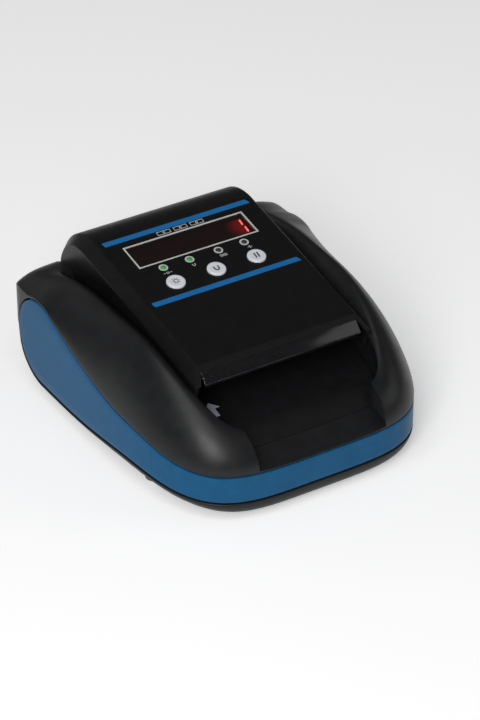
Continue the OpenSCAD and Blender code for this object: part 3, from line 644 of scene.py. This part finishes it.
def deck_matrix():
    m = Matrix(((1, 0, 0, 0), (0, U[1], N[1], P0[1] * MM), (0, U[2], N[2], P0[2] * MM), (0, 0, 0, 1)))
    return m


def on_deck(o):
    o.data.transform(deck_matrix())
    return o


BX, LX = (-22, 0, 22), (-22.1, -7.9, 7.9, 22.1)
for x in BX:
    cut(lid, on_deck(tube("t", (x, 54), "z", 4.85, -12, 8, 96)))
for x in LX:
    cut(lid, on_deck(tube("t", (x, 65.5), "z", 1.5, -6, 6, 48)))
cut(lid, on_deck(box("b", (-31.6, 70.4, -6), (31.6, 84.6, 6))))
cut(lid, on_deck(box("b", (-40.6, 41.8, -0.3), (40.6, 93.05, 3))))
for s in (-1, 1):
    cut(lid, tube("t", (HY, HZ), "x", 2.55, s * 46 - 4, s * 46 + 4, 48))
soften(lid, 0.35, angle=28, where=lambda m: m.y < -35 and m.z > 47, seg=3)
smooth(lid, 30)
dress(lid, "lid", "lid", "lid_plastic", "lid_cover")

visor = prism("visor_smoked", [(DY0 + 0.2, DZ0 - 2.3), (DY0 - 1.9, DZ0 - 2.2), (DY0 - 6.5, DZ0 - 7), (DY0 - 6.2, DZ0 - 9), (DY0 - 4.9, DZ0 - 8.4), (DY0 + 0.2, DZ0 - 4)], "x", -42.0, 42.0)
soften(visor, 0.35, angle=20, seg=3)
smooth(visor, 50)
dress(visor, "visor", "lid", "visor_smoke", "smoked_visor")


# ---------------------------------------------------------------- panel
def plate(name, poly, z0, z1, mat, body, slot, bevel=0.0, *nodes):
    o = prism(name, poly, "z", z0, z1)
    if bevel:
        soften(o, bevel, angle=30, seg=2)
    on_deck(o)
    smooth(o, 40)
    return dress(o, mat, body, slot, *nodes)


def slanted(x, s0, s1):
    return [(-x + 1.0, s0), (x - 0.2, s0), (x, s0 + 0.5), (x - 1.0, s1 - 0.25), (x - 1.6, s1), (-x + 0.3, s1), (-x, s1 - 0.5), (-x + 0.55, s0 + 0.25)]


for k, (s0, s1) in enumerate(((42.6, 45.8), (89.6, 92.8))):
    o = prism("stripe%d" % k, slanted(40, s0, s1), "z", -0.28, 0.02)
    soften(o, 0.06, angle=30, seg=1)
    on_deck(o)
    smooth(o, 40)
    dress(o, "stripe", "lid", "stripe_blue")
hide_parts("panel_stripes")
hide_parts("panel_stripes")

keys = (("uv_button", "uv_key"), ("mg_button", "mg_key"), ("pause_button", "pause_key"))
for (node, body), x in zip(keys, BX):
    prof = [(5.5, -4.2), (5.5, -2.9), (4.6, -2.9), (4.6, 0.25), (4.55, 0.5), (4.42, 0.68), (4.22, 0.8), (3.95, 0.87), (3.6, 0.9), (3.2, 0.895), (2.6, 0.86), (1.9, 0.83), (1.1, 0.81), (0.4, 0.8)]
    o = loops(node + "_cap", [[(x + r * math.cos(2 * math.pi * k / 96), 54 + r * math.sin(2 * math.pi * k / 96), z) for k in range(96)] for r, z in prof])
    on_deck(o)
    smooth(o, 40)
    dress(o, "key", body, "button_white", node)


def mark(name, polys, z0, z1, mat, body, slot):
    parts = [prism(name + "_p%d" % i, p, "z", z0, z1) for i, p in enumerate(polys)]
    o = parts[0]
    for t in parts[1:]:
        bm = bmesh.new()
        bm.from_mesh(o.data)
        bm.from_mesh(t.data)
        bm.to_mesh(o.data)
        bm.free()
        me = t.data
        bpy.data.objects.remove(t)
        bpy.data.meshes.remove(me)
    o.name = name
    on_deck(o)
    return dress(o, mat, body, slot)


def arc_band(cx, cy, r0, r1, a0, a1, k=24):
    a = [math.radians(a0 + (a1 - a0) * i / k) for i in range(k + 1)]
    return [(cx + r1 * math.cos(t), cy + r1 * math.sin(t)) for t in a] + [(cx + r0 * math.cos(t), cy + r0 * math.sin(t)) for t in a[::-1]]


def rect(x0, y0, x1, y1, sh=0.0):
    return [(x0, y0), (x1, y0), (x1 + sh, y1), (x0 + sh, y1)]


ZI = 0.79
mark("uv_key_mark", [arc_band(-22, 54, 0.85, 1.2, 0, 180), arc_band(-22, 54, 0.85, 1.2, 180, 360)]
     + [[(-22 + r * math.cos(a + da), 54 + r * math.sin(a + da)) for r, da in ((1.55, -0.12), (2.1, -0.09), (2.1, 0.09), (1.55, 0.12))] for a in [math.pi * k / 4 for k in range(8)]],
     ZI, 0.9, "icon", "uv_key", "part_black")
mark("mg_key_mark", [arc_band(0, 53.7, 0.75, 1.45, 180, 360), rect(-1.45, 53.7, -0.75, 55.3), rect(0.75, 53.7, 1.45, 55.3)], ZI, 0.9, "icon", "mg_key", "part_black")
mark("pause_key_mark", [rect(20.75, 52.2, 21.5, 55.8, 0.25), rect(22.35, 52.2, 23.1, 55.8, 0.25)], ZI, 0.9, "icon", "pause_key", "part_black")

# generic pictograms in place of the words
ZP = (-0.03, 0.015)
mark("mark_lamp", [arc_band(-22, 61.4, 0.45, 0.7, 0, 180), arc_band(-22, 61.4, 0.45, 0.7, 180, 360), rect(-24.2, 61.25, -23.2, 61.55), rect(-20.8, 61.25, -19.8, 61.55)], *ZP, "white", "lid", "print_white")
mark("mark_magnet", [arc_band(-7.9, 61.3, 0.5, 0.85, 180, 360), rect(-8.75, 61.3, -8.4, 62.1), rect(-7.4, 61.3, -7.05, 62.1)], *ZP, "white", "lid", "print_white")
mark("mark_stack", [rect(6.5, 60.75 + 0.6 * k, 10.3, 61.0 + 0.6 * k) for k in range(3)], *ZP, "white", "lid", "print_white")
mark("mark_sum", [rect(21.7, 61.3, 24.1, 61.6), rect(22.75, 60.45, 23.05, 62.45)], *ZP, "white", "lid", "print_white")
notes = []
for cx in (-9, 0, 9):
    x0, x1, y0, y1, t = cx - 3.6, cx + 3.6, 86.5, 89.0, 0.3
    notes += [rect(x0, y0, x1, y0 + t), rect(x0, y1 - t, x1, y1), rect(x0, y0 + t, x0 + t, y1 - t), rect(x1 - t, y0 + t, x1, y1 - t), arc_band(cx, 87.75, 0.35, 0.65, 0, 180), arc_band(cx, 87.75, 0.35, 0.65, 180, 360)]
mark("mark_notes", notes, *ZP, "white", "lid", "print_white")

# the lit digit: two lens-shaped bars behind the window
for k, (s0, s1) in enumerate(((73.5, 77.6), (79.0, 83.1))):
    sh = 0.35
    poly = [(29.3, s0 + 0.3), (29.75, s0), (30.2, s0 + 0.3), (30.2 + sh, s1 - 0.3), (29.75 + sh, s1), (29.3 + sh, s1 - 0.3)]
    mark("digit_bar_%d" % k, [poly], -2.33, -2.28, "digit", "lid", "part_black")

# indicator domes
for k, x in enumerate(LX):
    rows = [(1.48, -8), (1.48, -0.1), (1.42, 0.12), (1.25, 0.32), (0.95, 0.48), (0.55, 0.58), (0.2, 0.61)]
    o = loops("indicator_%d" % k, [[(x + r * math.cos(2 * math.pi * i / 48), 65.5 + r * math.sin(2 * math.pi * i / 48), z) for i in range(48)] for r, z in rows])
    on_deck(o)
    smooth(o, 50)
    dress(o, "led_on" if k < 2 else "led_off", "lid", "led_green", "indicator_leds")

# ---------------------------------------------------------------- feet
for k, (x, y) in enumerate(foot_xy):
    prof = [(5.0, 0.0), (5.3, 0.06), (5.55, 0.25), (5.75, 0.7), (5.95, 1.2), (6.0, 1.7), (6.0, 3.4)]
    o = loops("foot_%d" % k, [[(x + r * math.cos(2 * math.pi * i / 72), y + r * math.sin(2 * math.pi * i / 72), z) for i in range(72)] for r, z in prof])
    smooth(o, 45)
    dress(o, "rubber", "root", "rubber_black", "rubber_feet")

# ---------------------------------------------------------------- carried-over CAD nodes
look = {
    "base_screws": "steel", "feed_bed": "bed", "tray_arrow_label": "label", "hinge_posts": "black", "hinge_pins": "steel", "side_frames": "zinc",
    "shaft_bushes": "bronze", "drive_motor": "zinc", "drive_belt": "rubber", "magnetic_heads": "head", "sensor_board": "board",
    "encoder_sensor": "black", "main_board": "board", "board_screws": "steel", "board_parts": "black", "dc_jack": "black",
    "switch_housing": "black", "switch_rocker": "black", "motor_pulley": "nylon", "feed_shaft": "steel", "feed_tyres": "tyre", "feed_pulley": "nylon",
    "encoder_disc": "black", "exit_shaft": "steel", "exit_tyres": "tyre", "exit_pulley": "nylon", "panel_overlay": "overlay",
    "display_window": "window", "window_frame": "white", "digit_display": "display", "panel_board": "board", "panel_switches": "black",
    "led_rings": "white", "upper_guide": "bed", "roller_brackets": "black", "press_springs": "steel", "uv_lamp_module": "lamp",
    "front_press_shaft": "steel", "front_press_rollers": "press", "rear_press_shaft": "steel", "rear_press_rollers": "press",
}
for n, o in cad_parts.items():
    if n in look:
        if not o.material_slots:
            o.data.materials.append(M[look[n]])
        for s in o.material_slots:
            s.material = M[look[n]]

# ---------------------------------------------------------------- stage, light, camera
floor = new_mesh("floor", [(-6000, -6000, 0), (6000, -6000, 0), (6000, 6000, 0), (-6000, 6000, 0)], [(0, 1, 2, 3)])
floor.data.materials.append(material("floor_m", (0.88, 0.88, 0.88), 0.6, grain=0.0, vary=0.01, vary_scale=3, spec=0.1))
floor.data.materials[0].node_tree.nodes["Principled BSDF"].inputs["Emission Color"].default_value = (1, 1, 1, 1)
floor.data.materials[0].node_tree.nodes["Principled BSDF"].inputs["Emission Strength"].default_value = 0.36


def area(name, pos, target, sx, sy, power, colour=(1, 1, 1)):
    l = bpy.data.lights.new(name, "AREA")
    l.shape = "RECTANGLE"
    l.size, l.size_y, l.energy, l.color = sx, sy, power, colour
    o = bpy.data.objects.new(name, l)
    o.location = pos
    o.rotation_mode = "QUATERNION"
    o.rotation_quaternion = (Vector(target) - Vector(pos)).to_track_quat("-Z", "Y")
    bpy.context.scene.collection.objects.link(o)
    return o


c0 = (0, 0, 0.04)
area("key", (-0.92, -0.92, 0.80), c0, 0.55, 0.5, 10.5)
area("over", (-0.75, -0.55, 1.7), c0, 1.5, 1.2, 12)
area("right", (1.5, -0.9, 0.9), c0, 0.8, 0.8, 2.5)
area("back", (-0.6, 1.7, 0.9), c0, 1.6, 0.4, 1.2)
w = bpy.data.worlds.new("studio")
w.use_nodes = True
w.node_tree.nodes["Background"].inputs["Color"].default_value = (1, 1, 1, 1)
w.node_tree.nodes["Background"].inputs["Strength"].default_value = 0.11
bpy.context.scene.world = w
bpy.context.scene.view_settings.view_transform = "Standard"

cam = bpy.data.objects.new("camera", bpy.data.cameras.new("camera"))
bpy.context.scene.collection.objects.link(cam)
cam.data.lens, cam.data.sensor_width, cam.data.clip_start, cam.data.clip_end = 150, 36, 0.05, 20
right, down, fwd = Vector((0.8522, -0.5232, 0)), Vector((-0.2879, -0.4690, -0.8350)), Vector((0.4369, 0.7116, -0.5503))
m = Matrix.Identity(4)
for i in range(3):
    m[i][0], m[i][1], m[i][2] = right[i], -down[i], -fwd[i]
m[0][3], m[1][3], m[2][3] = -0.61507, -1.01212, 0.80798
cam.matrix_world = m
bpy.context.scene.camera = cam
